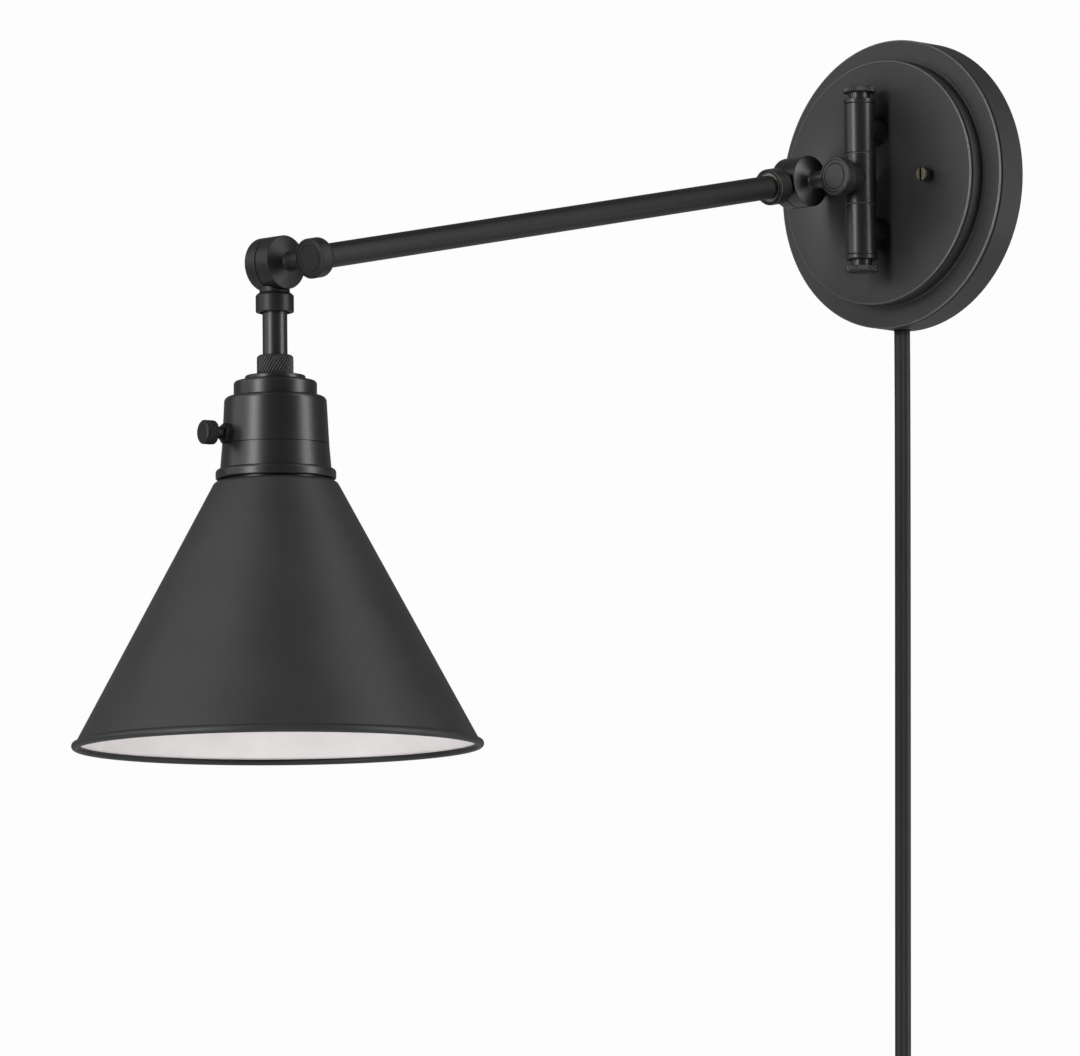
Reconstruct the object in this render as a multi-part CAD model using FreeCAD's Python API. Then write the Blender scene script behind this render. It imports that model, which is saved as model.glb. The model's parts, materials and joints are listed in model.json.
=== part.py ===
"""Swing arm wall sconce with a cone shade, in millimetres.

The wall is the plane y = 0. The lamp stands out from it towards -y, +z is up, and the
origin is the middle of the canopy's back. A column on the canopy holds a knuckle that
swings about z. The knuckle's side disc holds the arm, which tilts about x, and the disc on
the arm's far end holds the head, which tilts about x too.
"""
import FreeCAD, Part
import math
import os

V = FreeCAD.Vector
UP, DOWN, OUT, LEFT = V(0, 0, 1), V(0, 0, -1), V(0, -1, 0), V(-1, 0, 0)

# ---- fits and gaps ----
RUNNING = 0.05       # round a turning shaft, on the radius
SEAM = 0.3           # between two faces that turn on each other, a thin washer's thickness
CLEAR = 0.6          # round a disc that turns in its saddle
HOLE = 0.3           # round a screw or a tube that only passes through, on the radius

# ---- canopy, a spun dish ----
CANOPY_R = 66.5
CANOPY_DEPTH = 16.0  # of the wide base
STEP_R = 56.2        # the raised middle
STEP_DEPTH = 8.7
SHEET = 1.2
GROOVE_BACK, GROOVE_WIDE, GROOVE_DEEP = 1.5, 1.2, 0.35   # behind each front edge
SCREW_X = 31.0       # each cap screw, from the middle
SCREW_R, SCREW_HEAD_R, SCREW_HEAD, SCREW_PROUD = 2.0, 3.3, 3.4, 5.6

# ---- strap that the canopy screws to ----
STRAP_LONG, STRAP_WIDE, STRAP_THICK = 106.0, 20.0, 2.0
BOX_SPACING = 88.9   # the junction box's screws
BOX_SLOT_R, BOX_SLOT_LONG = 2.5, 9.0
WIRE_HOLE_R = 5.0

# ---- hinge column ----
COLUMN_Y = -36.5     # its axis
COLUMN_R = 7.2
COLUMN_ROD_R = 4.0
COLUMN_TUBE = 23.0   # each fixed tube's length
POST_R, POST_STUD_R, POST_STUD = 6.9, 3.5, 9.0
FINIAL_WASHER_R, FINIAL_WASHER = 7.35, 2.2
FINIAL_WALL, FINIAL_NECK, FINIAL_R, FINIAL_CAP = 0.9, 3.1, 7.5, 2.4

# ---- knuckle ----
KNUCKLE_TALL = 23.0
STUB_R = 6.45
BUSH_WALL, BUSH_LONG = 1.2, 8.0

# ---- swivels: a barrel, a neck, and two half discs that turn on each other ----
BARREL_R, BARREL_FRONT, BARREL_BACK = 8.75, 3.9, 3.9
BARREL_ROUND = 2.2
CAP_EDGE, CAP_THICK = 1.15, 1.3
SWIVEL_OUT = 14.1    # column axis to the first swivel's axis
DISC_R = 11.7
NECK_R = 4.1
RIM_AT = 17.9        # barrel axis to the inner disc's rim
FLARE = 2.2
INNER_DISC, OUTER_DISC = 7.7, 6.8
PIVOT_R, PIVOT_HEAD_R, PIVOT_HEAD, PIVOT_DEEP = 3.0, 5.4, 1.7, 8.0
WASHER_R = 9.0
COLLAR_WALL, COLLAR_NECK_WALL = 2.9, 1.2
COLLAR_GAP, COLLAR_CONE, COLLAR_LONG = 0.9, 1.4, 7.4   # the gap is to the disc's edge
RECESS_WALL, COLLAR_RECESS = 1.6, 1.8

# ---- arm ----
ARM_LONG = 319.0     # between its two swivel axes
ARM_DROP = 11.6      # degrees below level at rest
TUBE_R, TUBE_WALL = 5.4, 1.2

# ---- head, heights measured down from its swivel's axis ----
NUT_R, NUT_LONG = 7.95, 8.8
FLANGE_R, FLANGE = 13.15, 2.4
NECK_TO = 40.1       # the stem shows from the collar down to here
TIER_R, TIER = 18.05, 6.8
HOUSE_ROOM, HOUSE_WALL = 3.0, 1.2    # room round the lampholder
HOUSE_UPPER, HOUSE_LOWER = 20.9, 10.4
UPPER_FLARE, LOWER_FLARE = 1.1, 0.9
TONGUE = 3.0         # the lower band's fit inside the upper cup
LIP_STAND, LIP = 2.0, 4.4
LOCK_NUT_FLATS, LOCK_NUT, STEM_PAST = 17.0, 4.0, 2.0
SHADOW_GAP = 0.9
SHADE_TALL = 115.9
SHADE_STAND, SHADE_ROUND = 0.3, 3.0  # its shoulder past the lip ring
SHADE_R = 88.9       # over the rolled rim
SHADE_WALL = 1.0
RIM_R = 1.7

# ---- lampholder, for a 26 mm screw base ----
HOLDER_R, HOLDER_LONG = 17.9, 55.5
THREAD_R, SHELL_WALL, SHELL_LONG = 13.2, 0.6, 25.0
HOLDER_MOUTH = 3.0   # the body reaches this far past the shell
HOLDER_TOP = 3.0
CHAMBER_WALL, CHAMBER = 3.4, 18.0
CONTACT_R, CONTACT, CONTACT_GAP = 4.0, 2.4, 0.6   # the gap is to the lamp's base
LOCK_RING_WIDE, LOCK_RING = 4.6, 3.0

# ---- turn switch ----
KNOB_TURN = -16.0    # degrees from straight out, seen from above
KNOB_DOWN = 17.1     # below the cup's shoulder
KNOB_R, KNOB_LONG, KNOB_SHANK = 5.3, 5.9, 4.1
SHAFT_R, SHAFT_FROM = 2.5, 6.0
BUSH_FLATS, BUSH_THICK, BUSH_NECK_R = 7.6, 2.9, 3.2

# ---- supply cord: flat, two cores, and as wide as this ----
CORD_W = 8.2
CORD_X, CORD_Y = -1.5, -7.4   # where it leaves the canopy
# The route down the wall, as (x, z): a long hang, then aside to the coil's left edge.
CORD_ROUTE = [(CORD_X, -64), (CORD_X, -90), (-8.2, -446), (-45.6, -518), (-45.6, -560)]
COIL_AT = V(0, -11.6, -560)
COIL_MIN_R, COIL_MAX_R, COIL_WIDE = 31.1, 48.1, 16.8
TIE_AT, TIE_WIDE, TIE_THICK = 158.0, 9.0, 1.0   # the angle is from +x towards +z
TAIL = 44.0
PLUG_TAPER, PLUG_LONG, PLUG_W, PLUG_D = 12.0, 22.0, 24.0, 14.0
BLADE_LONG, BLADE_W, BLADE_THICK, BLADE_GAP = 16.0, 6.3, 1.5, 12.7

# ---- sizes and places that follow ----
CANOPY_FRONT = CANOPY_DEPTH + STEP_DEPTH
SWIVEL_X = RIM_AT + (INNER_DISC + OUTER_DISC) / 2      # barrel axis to the disc's middle
COLUMN = V(0, COLUMN_Y, 0)
HALF_KNUCKLE = KNUCKLE_TALL / 2
TUBE_FROM = HALF_KNUCKLE + SEAM
COLUMN_TOP = TUBE_FROM + COLUMN_TUBE
BARREL_A = COLUMN + OUT * SWIVEL_OUT
ALONG = V(0, -math.cos(math.radians(ARM_DROP)), -math.sin(math.radians(ARM_DROP)))
PIVOT_A = BARREL_A + LEFT * SWIVEL_X
BARREL_B = PIVOT_A + ALONG * ARM_LONG
PIVOT_B = BARREL_B + LEFT * SWIVEL_X
FINIAL_NECK_R = COLUMN_ROD_R + FINIAL_WALL
CAP_R = BARREL_R - CAP_EDGE
COLLAR_R, COLLAR_NECK_R = TUBE_R + COLLAR_WALL, TUBE_R + COLLAR_NECK_WALL
COLLAR_RECESS_R = COLLAR_R - RECESS_WALL
COLLAR_NECK = DISC_R + COLLAR_GAP
COLLAR_END = COLLAR_NECK + COLLAR_CONE + COLLAR_LONG
FLANGE_AT = NECK_TO + NUT_LONG
TIER_AT = FLANGE_AT + FLANGE
HOUSE_AT = TIER_AT + TIER
SEAM_AT = HOUSE_AT + HOUSE_UPPER
LIP_AT = SEAM_AT + SEAM + HOUSE_LOWER
SHADE_AT = LIP_AT + LIP + SHADOW_GAP
HOUSE_TOP_R = HOLDER_R + HOUSE_ROOM + HOUSE_WALL
HOUSE_SEAM_R = HOUSE_TOP_R + UPPER_FLARE
HOUSE_END_R = HOUSE_SEAM_R + LOWER_FLARE
LIP_R = HOUSE_END_R + LIP_STAND
SHADE_SHOULDER_R = LIP_R + SHADE_STAND
SHADE_HOLE_R = HOLDER_R + HOUSE_ROOM / 2
LOCK_RING_R = HOLDER_R + LOCK_RING_WIDE
CHAMBER_R = HOLDER_R - CHAMBER_WALL
STEM_TO = TIER_AT + HOUSE_WALL + LOCK_NUT + STEM_PAST
HOLDER_AT = STEM_TO + STEM_PAST
HOLDER_END = HOLDER_AT + HOLDER_LONG
SHELL_END = HOLDER_END - HOLDER_MOUTH
SHELL_AT = SHELL_END - SHELL_LONG
WELL_AT = SHELL_AT - CONTACT - CONTACT_GAP
KNOB_AXIS = V(math.sin(math.radians(KNOB_TURN)), -math.cos(math.radians(KNOB_TURN)), 0)
KNOB_BASE = PIVOT_B + DOWN * (HOUSE_AT + KNOB_DOWN)
KNOB_AT = HOUSE_SEAM_R + BUSH_THICK + KNOB_SHANK


# ---- shapes ----
def cylinder(r, start, axis, long):
    return Part.makeCylinder(r, long, start, axis)


def outline(points):
    """Edges of a closed outline in the x-z plane; a point (x, z, r) has a rounded corner."""
    corners = [V(p[0], 0, p[1]) for p in points]
    rounds = [p[2] if len(p) > 2 else 0 for p in points]
    n, cuts = len(points), []
    for i, (corner, r) in enumerate(zip(corners, rounds)):
        if not r:
            cuts.append((corner, corner, corner))
            continue
        back = (corners[i - 1] - corner).normalize()
        on = (corners[(i + 1) % n] - corner).normalize()
        half = back.getAngle(on) / 2
        middle = (back + on).normalize() * (r / math.sin(half) - r)
        cuts.append((corner + back * (r / math.tan(half)), corner + middle,
                     corner + on * (r / math.tan(half))))
    edges = []
    for i in range(n):
        start, middle, end = cuts[i]
        if rounds[i]:
            edges.append(Part.Arc(start, middle, end).toShape())
        after = cuts[(i + 1) % n][0]
        if (after - end).Length > 1e-6:
            edges.append(Part.LineSegment(end, after).toShape())
    return edges


def turned(points, at, axis):
    """The solid that a closed (radius, height) outline sweeps about axis, height 0 at `at`."""
    solid = Part.Face(Part.Wire(outline(points))).revolve(V(0, 0, 0), UP, 360)
    solid.Placement = FreeCAD.Placement(at, FreeCAD.Rotation(UP, axis))
    return solid


def ring(outer, inner, start, axis, long, edge=0.0):
    """A ring whose outer edges are rounded by `edge`."""
    return turned([(inner, 0), (outer, 0, edge), (outer, long, edge), (inner, long)], start, axis)


def hexagon(flats, start, axis, long, bore):
    """A hexagon prism, `flats` across, with a hole through it."""
    r = flats / 2 / math.cos(math.radians(30))
    corners = [V(r * math.cos(math.radians(60 * k)), r * math.sin(math.radians(60 * k)), 0)
               for k in range(6)]
    solid = Part.Face(Part.makePolygon(corners + corners[:1])).extrude(UP * long)
    solid.Placement = FreeCAD.Placement(start, FreeCAD.Rotation(UP, axis))
    return solid.cut(cylinder(bore, start, axis, long))


def slot(r, long, middle, axis, deep):
    """A slot along x with round ends, for cutting."""
    half = long / 2 - r
    ends = [cylinder(r, middle + V(s * half, 0, 0), axis, deep) for s in (-1, 1)]
    bar = Part.makeBox(2 * half, deep, 2 * r, middle + V(-half, -deep if axis.y < 0 else 0, -r))
    return bar.fuse(ends)


def rounded_box(size, centre, edge):
    box = Part.makeBox(size.x, size.y, size.z, centre - size * 0.5)
    return box.makeFillet(edge, box.Edges)


# ---- canopy and what it hangs on ----
def groove(r, front):
    """The three corners of a small vee groove in a wall of radius r, behind its front edge."""
    middle = front - GROOVE_BACK
    return [(r, middle + GROOVE_WIDE / 2), (r - GROOVE_DEEP, middle), (r, middle - GROOVE_WIDE / 2)]


def canopy():
    """The dish, open at the wall, with a groove behind each of its two front edges."""
    dish = turned(
        [(0, CANOPY_FRONT), (STEP_R, CANOPY_FRONT, 0.6), *groove(STEP_R, CANOPY_FRONT),
         (STEP_R, CANOPY_DEPTH, 0.8),
         (CANOPY_R, CANOPY_DEPTH, 0.6), *groove(CANOPY_R, CANOPY_DEPTH),
         (CANOPY_R, 0), (CANOPY_R - SHEET, 0), (CANOPY_R - SHEET, CANOPY_DEPTH - SHEET, 0.5),
         (STEP_R - SHEET, CANOPY_DEPTH - SHEET), (STEP_R - SHEET, CANOPY_FRONT - SHEET, 0.5),
         (0, CANOPY_FRONT - SHEET)], V(0, 0, 0), OUT)
    face = V(0, -CANOPY_FRONT, 0)
    holes = [cylinder(SCREW_R + HOLE, face + V(s * SCREW_X, -1, 0), -OUT, SHEET + 2)
             for s in (-1, 1)]
    holes += [cylinder(POST_STUD_R, face + V(0, -1, s * post_height()), -OUT, SHEET + 2)
              for s in (-1, 1)]
    holes.append(cylinder(bushing_r(), V(CORD_X, CORD_Y, -CANOPY_R - 1), UP, 2 * SHEET + 2))
    return dish.cut(Part.makeCompound(holes))


def post_height():
    return TUBE_FROM + COLUMN_TUBE / 2


def bushing_r():
    return CORD_W / 2 + 1.2


def strap():
    """The flat bar on the junction box, slotted for its two screws."""
    bar = Part.makeBox(STRAP_LONG, STRAP_THICK, STRAP_WIDE,
                       V(-STRAP_LONG / 2, -STRAP_THICK, -STRAP_WIDE / 2))
    bar = bar.makeFillet(3.0, [e for e in bar.Edges if abs(e.tangentAt(e.FirstParameter).y) > 0.9])
    cuts = [slot(BOX_SLOT_R, BOX_SLOT_LONG, V(s * BOX_SPACING / 2, 0, 0), OUT, STRAP_THICK)
            for s in (-1, 1)]
    cuts += [cylinder(SCREW_R, V(s * SCREW_X, 0, 0), OUT, STRAP_THICK) for s in (-1, 1)]
    cuts += [cylinder(WIRE_HOLE_R, V(0, 0, 0), OUT, STRAP_THICK),
             cylinder(SCREW_R, V(SCREW_X / 2, 0, 0), OUT, STRAP_THICK)]
    return bar.cut(Part.makeCompound(cuts))


def slotted_head(r, tall, at, axis, across):
    """A cheese head that stands on `at`, with a screwdriver slot along `across`."""
    head = turned([(0, 0), (r, 0), (r, tall, 0.7), (0, tall)], at, axis)
    wide, deep = 1.1, 1.3
    side = axis.cross(across)
    corner = at + axis * (tall - deep) - across * (2 * r) - side * (wide / 2)
    slit = Part.Face(Part.makePolygon([corner, corner + across * (4 * r),
                                       corner + across * (4 * r) + side * wide,
                                       corner + side * wide, corner])).extrude(axis * (deep + 1))
    return head.cut(slit)


def cap_screw(side):
    """One of the two screws through the canopy's face, on its spacer collar, into the strap."""
    at = V(side * SCREW_X, -CANOPY_FRONT, 0)
    collar = cylinder(SCREW_HEAD_R - 0.7, at, OUT, SCREW_PROUD - SCREW_HEAD)
    head = slotted_head(SCREW_HEAD_R, SCREW_HEAD, at + OUT * (SCREW_PROUD - SCREW_HEAD), OUT, UP)
    return cylinder(SCREW_R, at, -OUT, CANOPY_FRONT).fuse([collar, head])


def ground_screw():
    at = V(SCREW_X / 2, -STRAP_THICK, 0)
    return cylinder(SCREW_R, at, -OUT, STRAP_THICK).fuse(
        slotted_head(SCREW_HEAD_R, 2.4, at, OUT, V(1, 0, 0)))


# ---- hinge column ----
def column_tube(side):
    """A fixed tube of the column, with its post and the stud that goes through the canopy."""
    axis = UP * side
    tube = ring(COLUMN_R, COLUMN_ROD_R, COLUMN + axis * TUBE_FROM, axis, COLUMN_TUBE, 0.4)
    middle = COLUMN + axis * (TUBE_FROM + COLUMN_TUBE / 2)
    reach = -COLUMN_Y - CANOPY_FRONT
    post = cylinder(POST_R, middle, -OUT, reach)
    stud = cylinder(POST_STUD_R, middle - OUT * reach, -OUT, POST_STUD)
    bore = cylinder(COLUMN_ROD_R, COLUMN, axis, COLUMN_TOP + 1)
    return tube.fuse([post, stud]).cut(bore)


def column_nut(side):
    start = V(0, -CANOPY_FRONT + SHEET, side * post_height())
    return hexagon(12.0, start, -OUT, 4.5, POST_STUD_R)


def column_washer(side):
    """The thin washer between the knuckle and a fixed tube."""
    return ring(COLUMN_R - 0.3, COLUMN_ROD_R, COLUMN + UP * (side * HALF_KNUCKLE), UP * side, SEAM)


def finial_washer(side):
    return ring(FINIAL_WASHER_R, COLUMN_ROD_R, COLUMN + UP * (side * COLUMN_TOP), UP * side,
                FINIAL_WASHER, 0.4)


def finial(side):
    """The knurled cap nut on an end of the column's rod."""
    low, cap = FINIAL_NECK, FINIAL_NECK + FINIAL_CAP
    return turned([(COLUMN_ROD_R, 0), (FINIAL_NECK_R, 0), (FINIAL_NECK_R, low), (FINIAL_R, low, 0.4),
                   (FINIAL_R, cap, 0.6), (0, cap), (0, low), (COLUMN_ROD_R, low)],
                  COLUMN + UP * (side * (COLUMN_TOP + FINIAL_WASHER)), UP * side)


def column_rod():
    half = COLUMN_TOP + FINIAL_WASHER + FINIAL_NECK
    return cylinder(COLUMN_ROD_R, COLUMN + DOWN * half, UP, 2 * half)


# ---- knuckle ----
def knuckle():
    """The tee: a tube on the rod and a stub out to the first barrel."""
    tube = ring(COLUMN_R, 1.0, COLUMN + DOWN * HALF_KNUCKLE, UP, KNUCKLE_TALL, 0.4)
    out = SWIVEL_OUT - BARREL_BACK
    stub = cylinder(STUB_R, COLUMN, OUT, out)
    spigot = cylinder(NECK_R, COLUMN, OUT, out + BARREL_BACK / 2)
    bore = cylinder(COLUMN_ROD_R + BUSH_WALL, COLUMN + DOWN * KNUCKLE_TALL, UP, 2 * KNUCKLE_TALL)
    return tube.fuse([stub, spigot]).cut(bore)


def knuckle_bush(side):
    inner = COLUMN_ROD_R + RUNNING
    return ring(COLUMN_ROD_R + BUSH_WALL, inner, COLUMN + UP * (side * HALF_KNUCKLE), UP * -side,
                BUSH_LONG)


# ---- swivels ----
def inner_swivel(barrel, along, bore_r):
    """A barrel on `along`, and the neck and flared half disc that stand out to its left."""
    body = turned([(0, -BARREL_BACK), (BARREL_R, -BARREL_BACK, BARREL_ROUND),
                   (BARREL_R, BARREL_FRONT, 0.6), (0, BARREL_FRONT)], barrel, along)
    face = RIM_AT + INNER_DISC - SEAM / 2
    root = BARREL_R - BARREL_ROUND
    disc = turned([(0, root), (NECK_R, root), (NECK_R, RIM_AT - FLARE, 0.8),
                   (DISC_R, RIM_AT, 0.5), (DISC_R, face, 0.5), (0, face)], barrel, LEFT)
    recess = cylinder(CAP_R, barrel + along * (BARREL_FRONT - CAP_THICK), along, BARREL_FRONT)
    seat = cylinder(bore_r, barrel - along * BARREL_BACK, along, BARREL_BACK / 2)
    pivot = cylinder(PIVOT_R + RUNNING, barrel + LEFT * face, -LEFT, PIVOT_DEEP)
    return body.fuse(disc).cut(recess).cut(seat).cut(pivot)


def barrel_cap(barrel, along):
    """The plain cover in the barrel's end, with one turned ring in its face."""
    face = CAP_THICK - 0.15
    return turned([(0, 0), (CAP_R, 0), (CAP_R, face, 0.4), (CAP_R - 1.5, face),
                   (CAP_R - 1.75, face - 0.25), (CAP_R - 2.0, face), (0, face)],
                  barrel + along * (BARREL_FRONT - CAP_THICK), along)


def outer_swivel(pivot, along, tube_r):
    """The half disc on the far side and the collar that it carries along `along`."""
    seam = INNER_DISC - (INNER_DISC + OUTER_DISC) / 2 + SEAM / 2
    outer = (INNER_DISC + OUTER_DISC) / 2
    disc = turned([(0, seam), (DISC_R, seam, 0.5), (DISC_R, outer, 1.2), (0, outer)], pivot, LEFT)
    cone = COLLAR_NECK + COLLAR_CONE
    collar = turned([(0, 2), (COLLAR_NECK_R, 2), (COLLAR_NECK_R, COLLAR_NECK), (COLLAR_R, cone, 0.6),
                     (COLLAR_R, COLLAR_END, 0.5), (COLLAR_RECESS_R, COLLAR_END),
                     (COLLAR_RECESS_R, COLLAR_END - COLLAR_RECESS),
                     (0, COLLAR_END - COLLAR_RECESS)], pivot, along)
    swept = cylinder(DISC_R + CLEAR, pivot + LEFT * seam, -LEFT, INNER_DISC + COLLAR_R)
    seat = cylinder(tube_r, pivot + along * cone, along, COLLAR_LONG)
    hole = cylinder(PIVOT_R, pivot + LEFT * (seam - 1), LEFT, OUTER_DISC + 2)
    sink = cylinder(PIVOT_HEAD_R + HOLE, pivot + LEFT * (outer - PIVOT_HEAD), LEFT, DISC_R)
    return disc.fuse(collar.cut(swept)).cut(seat).cut(hole).cut(sink)


def swivel_washer(pivot):
    seam = INNER_DISC - (INNER_DISC + OUTER_DISC) / 2
    return ring(WASHER_R, PIVOT_R, pivot + LEFT * (seam - SEAM / 2), LEFT, SEAM)


def pivot_screw(pivot):
    """The shouldered screw that holds a swivel's two halves together."""
    outer = (INNER_DISC + OUTER_DISC) / 2
    face = outer - PIVOT_HEAD
    end = INNER_DISC - outer - PIVOT_DEEP + SEAM
    return turned([(0, end), (PIVOT_R, end), (PIVOT_R, face), (PIVOT_HEAD_R, face),
                   (PIVOT_HEAD_R, outer - 0.2, 0.6), (0, outer - 0.2)], pivot, LEFT)


# ---- arm ----
def arm_tube():
    start, end = COLLAR_NECK + COLLAR_CONE, ARM_LONG - BARREL_BACK / 2
    return ring(TUBE_R, TUBE_R - TUBE_WALL, PIVOT_A + ALONG * start, ALONG, end - start)


def collar_ring(pivot, along, tube_r):
    """The thin ring at the bottom of a collar's recess."""
    return ring(COLLAR_RECESS_R, tube_r, pivot + along * (COLLAR_END - COLLAR_RECESS), along,
                COLLAR_RECESS / 2)


# ---- head ----
def stem():
    start = COLLAR_NECK + COLLAR_CONE
    return ring(TUBE_R, TUBE_R - TUBE_WALL, PIVOT_B + DOWN * start, DOWN, STEM_TO - start)


def knurled_nut():
    return ring(NUT_R, TUBE_R, PIVOT_B + DOWN * NECK_TO, DOWN, NUT_LONG, 0.7)


def stem_flange():
    return ring(FLANGE_R, TUBE_R, PIVOT_B + DOWN * FLANGE_AT, DOWN, FLANGE, 0.8)


def lock_nut():
    """The hexagon nut inside the top tier."""
    return hexagon(LOCK_NUT_FLATS, PIVOT_B + DOWN * (TIER_AT + HOUSE_WALL), DOWN, LOCK_NUT, TUBE_R)


def knob_hole(r, start, end):
    return cylinder(r, KNOB_BASE + KNOB_AXIS * start, KNOB_AXIS, end - start)


def housing_outline():
    """The cup's outside from the first tier down, as a solid."""
    return turned([(0, HOUSE_AT), (HOUSE_TOP_R, HOUSE_AT), (HOUSE_SEAM_R, SEAM_AT),
                   (HOUSE_SEAM_R, SEAM_AT + SEAM), (HOUSE_END_R, LIP_AT), (0, LIP_AT)], PIVOT_B, DOWN)


def housing_upper():
    """The cup's two top tiers, down to the seam."""
    wall = HOUSE_WALL
    cup = turned([(TUBE_R, TIER_AT), (TIER_R, TIER_AT, 1.5), (TIER_R, HOUSE_AT),
                  (HOUSE_TOP_R, HOUSE_AT, 2.4), (HOUSE_SEAM_R, SEAM_AT), (HOUSE_SEAM_R - wall, SEAM_AT),
                  (HOUSE_TOP_R - wall, HOUSE_AT + wall, 1.2), (TIER_R - wall, HOUSE_AT + wall),
                  (TIER_R - wall, TIER_AT + wall, 0.6), (TUBE_R, TIER_AT + wall)], PIVOT_B, DOWN)
    return cup.cut(knob_hole(BUSH_NECK_R, HOLDER_R, KNOB_AT))


def housing_lower():
    """The band below the seam, its tongue in the upper cup, and the neck for the lip ring."""
    neck = HOUSE_SEAM_R - 0.3
    inner = neck - 2 * HOUSE_WALL
    top = SEAM_AT + SEAM
    mouth = HOUSE_SEAM_R - HOUSE_WALL
    taper = (HOUSE_SEAM_R - HOUSE_TOP_R) / (HOUSE_UPPER - HOUSE_WALL)
    band = turned([(inner, SEAM_AT - TONGUE), (mouth - taper * TONGUE, SEAM_AT - TONGUE),
                   (mouth, SEAM_AT), (mouth, top), (HOUSE_SEAM_R, top), (HOUSE_END_R, LIP_AT),
                   (neck, LIP_AT), (neck, SHADE_AT), (inner, SHADE_AT)], PIVOT_B, DOWN)
    return band.cut(knob_hole(BUSH_NECK_R, HOLDER_R, KNOB_AT))


def lip_ring():
    inner = HOUSE_SEAM_R - 0.3
    return turned([(inner, 0), (LIP_R, 0, 1.6), (LIP_R, LIP, 0.6), (inner, LIP)],
                  PIVOT_B + DOWN * LIP_AT, DOWN)


def shade():
    """The spun cone: a flat top, a round shoulder, a straight wall and a rolled rim."""
    end = SHADE_AT + SHADE_TALL
    bead = V(SHADE_R - RIM_R, 0, end - RIM_R)
    slope = math.atan2(bead.x - SHADE_SHOULDER_R, bead.z - SHADE_AT)
    across = V(math.cos(slope), 0, -math.sin(slope)) * (SHADE_WALL / 2)
    drop = SHADE_WALL * (1 - math.sin(slope)) / math.cos(slope)
    cone = turned([(SHADE_HOLE_R, SHADE_AT), (SHADE_SHOULDER_R, SHADE_AT, SHADE_ROUND),
                   (bead.x + across.x, bead.z + across.z), (bead.x - across.x, bead.z - across.z),
                   (SHADE_SHOULDER_R - drop, SHADE_AT + SHADE_WALL, SHADE_ROUND - SHADE_WALL),
                   (SHADE_HOLE_R, SHADE_AT + SHADE_WALL)], PIVOT_B, DOWN)
    rim = Part.makeTorus(SHADE_R - RIM_R, RIM_R, PIVOT_B + DOWN * bead.z, UP)
    return cone.fuse(rim)


def shade_lock_ring():
    return ring(LOCK_RING_R, HOLDER_R, PIVOT_B + DOWN * (SHADE_AT + SHADE_WALL), DOWN, LOCK_RING, 0.5)


def holder_body():
    """The insulating body: a switch chamber above, the screw shell's socket below."""
    well = THREAD_R + SHELL_WALL
    chamber = HOLDER_AT + HOLDER_TOP
    body = cylinder(HOLDER_R, PIVOT_B + DOWN * HOLDER_AT, DOWN, HOLDER_LONG)
    cuts = [cylinder(CHAMBER_R, PIVOT_B + DOWN * chamber, DOWN, CHAMBER),
            cylinder(well, PIVOT_B + DOWN * WELL_AT, DOWN, HOLDER_END - WELL_AT),
            knob_hole(SHAFT_R + HOLE, CHAMBER_R / 2, HOLDER_R + 1)]
    return body.cut(Part.makeCompound(cuts))


def holder_shell():
    return ring(THREAD_R + SHELL_WALL, THREAD_R, PIVOT_B + DOWN * SHELL_AT, DOWN, SHELL_LONG)


def holder_contact():
    return turned([(0, 0), (CONTACT_R, 0), (CONTACT_R, CONTACT / 3), (CONTACT_R / 2, CONTACT, 0.6),
                   (0, CONTACT)], PIVOT_B + DOWN * WELL_AT, DOWN)


# ---- turn switch ----
def switch_bush():
    """The hexagon that sits on the housing, with a neck through it for the switch's shaft."""
    hole = SHAFT_R + RUNNING
    inside = HOUSE_TOP_R - HOUSE_WALL - 1
    start, long = KNOB_BASE + KNOB_AXIS * inside, HOUSE_SEAM_R + BUSH_THICK - inside
    nut = hexagon(BUSH_FLATS, start, KNOB_AXIS, long, hole).cut(housing_outline())
    return nut.fuse(ring(BUSH_NECK_R, hole, start, KNOB_AXIS, long))


def switch_knob():
    """The knob, its shank and the shaft into the switch."""
    end = KNOB_AT + KNOB_LONG
    return turned([(0, SHAFT_FROM), (SHAFT_R, SHAFT_FROM), (SHAFT_R, KNOB_AT), (KNOB_R, KNOB_AT, 0.7),
                   (KNOB_R, end, 0.9), (0, end)], KNOB_BASE, KNOB_AXIS)


# ---- cord ----
def cord_bushing():
    """The rubber bushing in the canopy's edge, round the cord, with its lip inside."""
    hole, lip = CORD_W / 2, bushing_r() + 0.9
    inside, outside = -CANOPY_R + SHEET + 0.6, -CANOPY_R
    return turned([(hole, inside + 1.7), (lip, inside + 1.7, 0.4), (lip, inside),
                   (bushing_r(), inside), (bushing_r(), outside), (hole, outside)],
                  V(CORD_X, CORD_Y, 0), UP)


def cord_path(route):
    """Straight runs joined by tangent arcs, each as large as its two runs allow."""
    points = [V(x, CORD_Y, z) for x, z in route]
    edges, start = [], points[0]
    for before, corner, after in zip(points, points[1:], points[2:]):
        back, on = (before - corner), (after - corner)
        reach = 0.45 * min(back.Length, on.Length)
        half = back.getAngle(on) / 2
        radius = reach * math.tan(half)
        back, on = back.normalize(), on.normalize()
        middle = corner + (back + on).normalize() * (radius / math.sin(half) - radius)
        print(f"cord arc radius {radius:.0f} mm")
        edges.append(Part.LineSegment(start, corner + back * reach).toShape())
        edges.append(Part.Arc(corner + back * reach, middle, corner + on * reach).toShape())
        start = corner + on * reach
    edges.append(Part.LineSegment(start, points[-1]).toShape())
    return Part.Wire(edges)


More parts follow.
